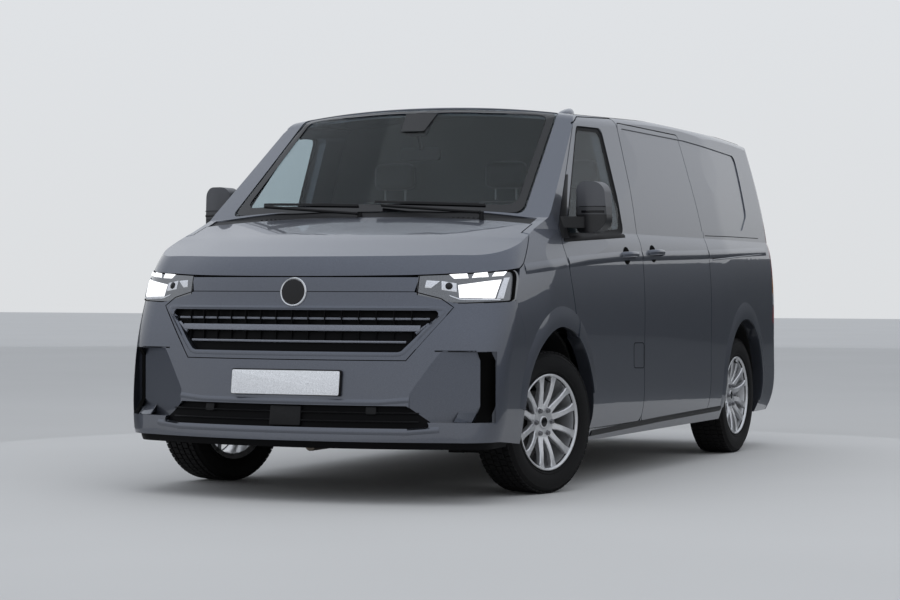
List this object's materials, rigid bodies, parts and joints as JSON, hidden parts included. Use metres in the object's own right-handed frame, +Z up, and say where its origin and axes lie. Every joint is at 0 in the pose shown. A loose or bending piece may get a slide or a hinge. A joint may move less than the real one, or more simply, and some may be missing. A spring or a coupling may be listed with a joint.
{
  "type": "panel van",
  "caption": "Panel van with hollow cab and load space, hinged hood, cab doors and twin rear doors, steered front wheels and a fixed side sliding door.",
  "frame": {"origin": "on the ground under the middle of the body", "axes": "+Z up, the front faces -Y, +X is the vehicle's left side"},
  "size_m": [2.265, 5.0381, 1.9842],
  "materials": {
    "body_paint": "dark grey metallic gloss",
    "black_plastic": "fine grain",
    "side_glass": "clear",
    "rear_glass": "dark tint",
    "lamp_glass": "clear lens",
    "red_lens": "gloss",
    "chassis_metal": "satin",
    "lining": "grain",
    "dash_plastic": "grain",
    "engine_metal": "cast",
    "radiator_metal": "satin",
    "tank_plastic": "moulded",
    "exhaust_metal": "satin",
    "seat_fabric": "woven",
    "cast_metal": "cast",
    "tyre_rubber": "rubber",
    "rim_alloy": "painted silver"
  },
  "bodies": {
    "van_body": {"sliding_door": "body_paint", "body_side_left": "body_paint", "body_side_right": "body_paint", "roof_panel": "body_paint", "front_fenders": "body_paint", "nose_panel": "body_paint", "front_bumper": "body_paint", "rear_bumper": "black_plastic", "windscreen": "side_glass", "headlamps": "lamp_glass", "tail_lamps": "red_lens", "front_grilles": "black_plastic", "floor_pan": "chassis_metal", "bulkhead": "lining", "dashboard": "dash_plastic", "cowl_panel": "black_plastic", "engine_block": "engine_metal", "radiator_pack": "radiator_metal", "fuel_tank": "tank_plastic", "front_suspension": "chassis_metal", "rear_suspension": "chassis_metal", "exhaust": "exhaust_metal", "cab_seats": "seat_fabric"},
    "hood_body": {"hood": "body_paint"},
    "front_door_left": {"door_left": "body_paint", "door_glass_left": "side_glass", "mirror_left": "black_plastic"},
    "front_door_right": {"door_right": "body_paint", "door_glass_right": "side_glass", "mirror_right": "black_plastic"},
    "rear_leaf_left": {"rear_door_left": "body_paint", "rear_glass_left": "rear_glass"},
    "rear_leaf_right": {"rear_door_right": "body_paint", "rear_glass_right": "rear_glass"},
    "steer_knuckle_left": {"knuckle_left": "cast_metal"},
    "steer_knuckle_right": {"knuckle_right": "cast_metal"},
    "wheel_front_left": {"tyre_front_left": "tyre_rubber", "rim_front_left": "rim_alloy"},
    "wheel_front_right": {"tyre_front_right": "tyre_rubber", "rim_front_right": "rim_alloy"},
    "wheel_rear_left": {"tyre_rear_left": "tyre_rubber", "rim_rear_left": "rim_alloy"},
    "wheel_rear_right": {"tyre_rear_right": "tyre_rubber", "rim_rear_right": "rim_alloy"},
    "steering": {"steering_wheel": "dash_plastic"}
  },
  "joints": [
    {"name": "hood_hinge", "type": "hinge", "parent": "van_body", "child": "hood_body", "pos_m": [0, -1.642, 1.322], "axis": [-1, 0, 0], "range_deg": [0, 53]},
    {"name": "front_door_left_hinge", "type": "hinge", "parent": "van_body", "child": "front_door_left", "pos_m": [1, -1.458, 0.8], "axis": [0, 0, -1], "range_deg": [0, 65]},
    {"name": "front_door_right_hinge", "type": "hinge", "parent": "van_body", "child": "front_door_right", "pos_m": [-1, -1.458, 0.8], "axis": [0, 0, 1], "range_deg": [0, 65]},
    {"name": "rear_door_left_hinge", "type": "hinge", "parent": "van_body", "child": "rear_leaf_left", "pos_m": [0.876, 2.467, 1], "axis": [0, 0, -1], "range_deg": [0, 180]},
    {"name": "rear_door_right_hinge", "type": "hinge", "parent": "van_body", "child": "rear_leaf_right", "pos_m": [-0.876, 2.467, 1], "axis": [0, 0, 1], "range_deg": [0, 180]},
    {"name": "steer_left", "type": "hinge", "parent": "van_body", "child": "steer_knuckle_left", "pos_m": [0.83, -1.545, 0.345], "axis": [0, 0, 1], "range_deg": [-20, 50]},
    {"name": "steer_right", "type": "hinge", "parent": "van_body", "child": "steer_knuckle_right", "pos_m": [-0.83, -1.545, 0.345], "axis": [0, 0, 1], "range_deg": [-20, 50]},
    {"name": "steering_column", "type": "hinge", "parent": "van_body", "child": "steering", "pos_m": [-0.4, -1.03, 1.13], "axis": [0, 0.6428, 0.766], "range_deg": [-300, 750]},
    {"name": "spin_front_left", "type": "hinge", "parent": "steer_knuckle_left", "child": "wheel_front_left", "pos_m": [0.86864, -1.55535, 0.345], "axis": [0.9659, -0.2588, 0], "continuous": true},
    {"name": "spin_front_right", "type": "hinge", "parent": "steer_knuckle_right", "child": "wheel_front_right", "pos_m": [-0.86864, -1.53465, 0.345], "axis": [0.9659, -0.2588, 0], "continuous": true},
    {"name": "spin_rear_left", "type": "hinge", "parent": "van_body", "child": "wheel_rear_left", "pos_m": [0.845, 1.555, 0.345], "axis": [1, 0, 0], "continuous": true},
    {"name": "spin_rear_right", "type": "hinge", "parent": "van_body", "child": "wheel_rear_right", "pos_m": [-0.845, 1.555, 0.345], "axis": [1, 0, 0], "continuous": true}
  ],
  "couplings": [
    {"joint": "steer_right", "follows": "steer_left", "ratio": 1},
    {"joint": "steering_column", "follows": "steer_left", "ratio": 15}
  ]
}
